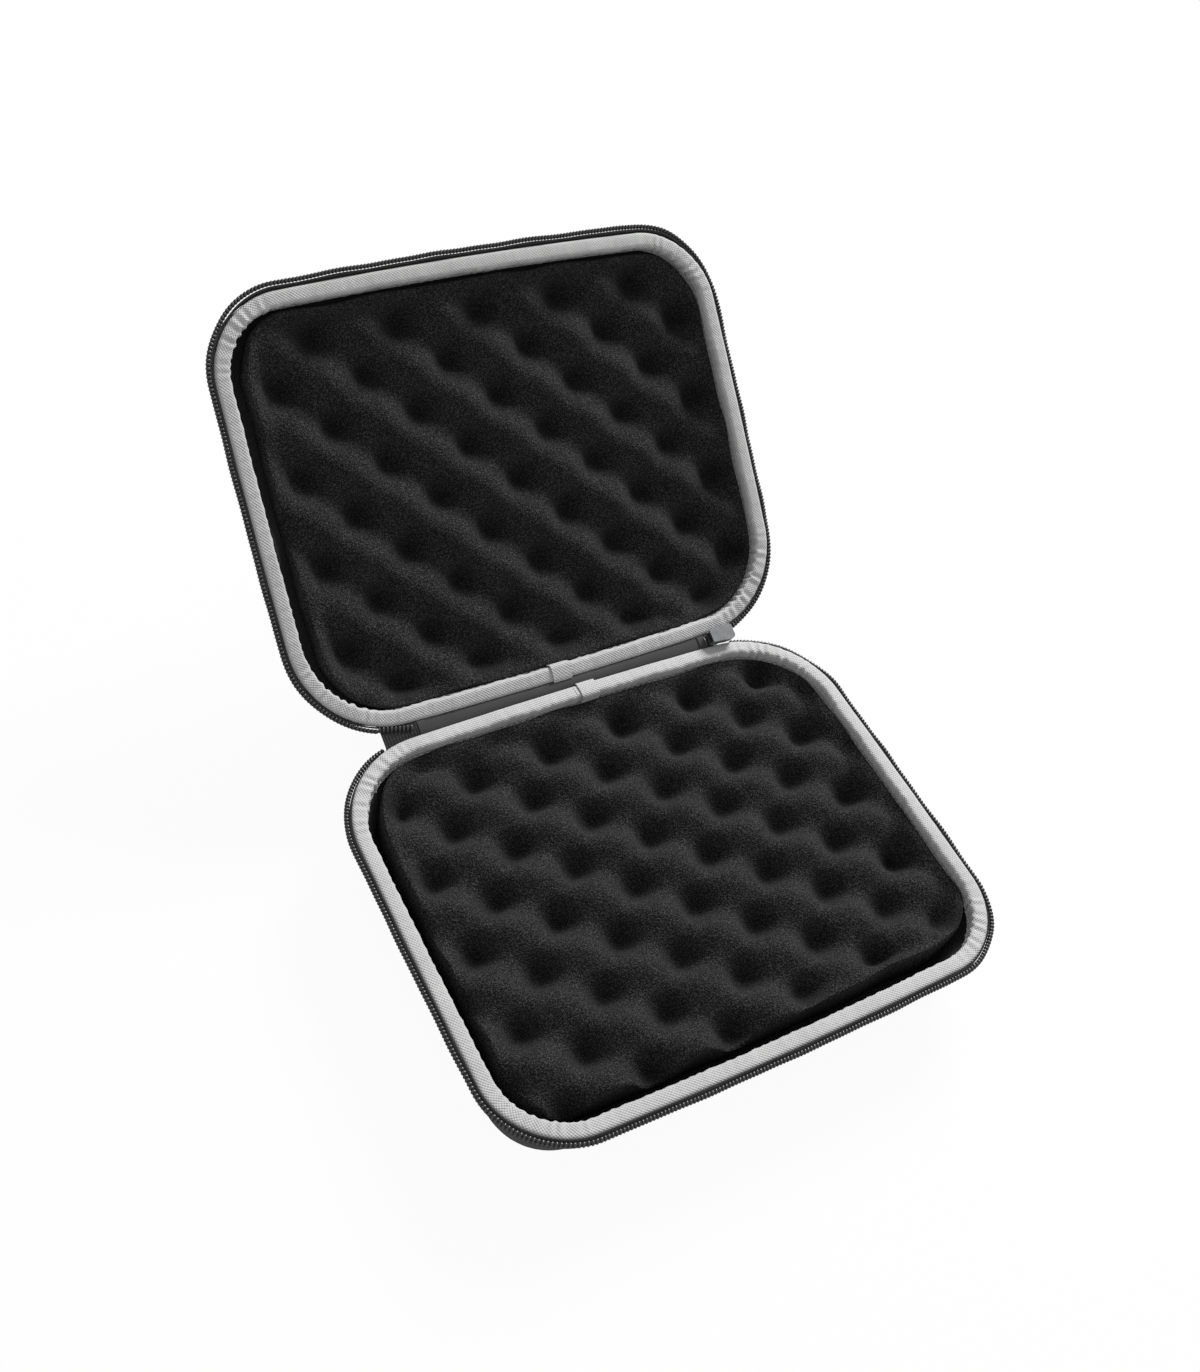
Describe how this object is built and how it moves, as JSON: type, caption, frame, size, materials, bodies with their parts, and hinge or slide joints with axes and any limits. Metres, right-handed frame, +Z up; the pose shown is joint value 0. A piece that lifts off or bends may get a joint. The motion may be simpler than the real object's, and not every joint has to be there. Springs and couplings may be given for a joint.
{
  "type": "monitor case",
  "caption": "Zip-up hard case for a field monitor, shown open: two lined half shells with bound rims, a cloth hinge, a coil zip and egg-crate foam in both halves",
  "frame": {"origin": "the middle of the base half's flat underside", "axes": "+X runs along the hinge, +Y points to the hinge and the raised lid, +Z is up"},
  "size_m": [0.248, 0.3489, 0.1645],
  "materials": {
    "shell_cloth": "charcoal woven cloth pressed onto stiff foam board",
    "lining_cloth": "thin black knitted lining",
    "binding_cloth": "light grey woven binding, matt, with a stitch line",
    "zip_tape": "black woven zip tape",
    "zip_coil": "black moulded coil turns with a slight sheen",
    "hinge_cloth": "dark grey close-woven ribbon",
    "foam": "dark grey open-cell egg-crate foam, matt and grainy",
    "slider_metal": "satin grey painted cast metal"
  },
  "bodies": {
    "base": {"base_shell": "shell_cloth", "base_lining": "lining_cloth", "base_rim_binding": "binding_cloth", "base_zip_tape": "zip_tape", "base_hinge_margin": "hinge_cloth", "base_zip_coil": "zip_coil", "base_foam": "foam"},
    "lid": {"lid_shell": "shell_cloth", "lid_lining": "lining_cloth", "lid_rim_binding": "binding_cloth", "lid_zip_tape": "zip_tape", "lid_hinge_margin": "hinge_cloth", "lid_zip_coil": "zip_coil", "lid_foam": "foam"},
    "hinge_fold": {"hinge_band_inner": "hinge_cloth", "hinge_band_outer": "hinge_cloth", "left_zip_end_tape": "zip_tape", "left_zip_end_coil": "zip_coil", "right_zip_end_tape": "zip_tape", "slider_body": "slider_metal", "slider_bridge": "slider_metal"},
    "pull_tab": {"slider_pull_tab": "slider_metal"}
  },
  "joints": [
    {"name": "lid_hinge", "type": "hinge", "parent": "base", "child": "lid", "pos_m": [0, 0.09508, 0.04206], "axis": [-1, 0, 0], "range_deg": [-140.5, 15], "deforming": ["hinge_band_inner", "hinge_band_outer"]},
    {"name": "fold_follow", "type": "hinge", "parent": "base", "child": "hinge_fold", "pos_m": [0, 0.09508, 0.04206], "axis": [-1, 0, 0], "range_deg": [-71, 8]},
    {"name": "pull_swing", "type": "hinge", "parent": "hinge_fold", "child": "pull_tab", "pos_m": [0.08, 0.09623, 0.03886], "axis": [0, 0.9413, 0.3375], "range_deg": [-65, 30]}
  ],
  "couplings": [
    {"joint": "fold_follow", "follows": "lid_hinge", "ratio": 0.5}
  ]
}
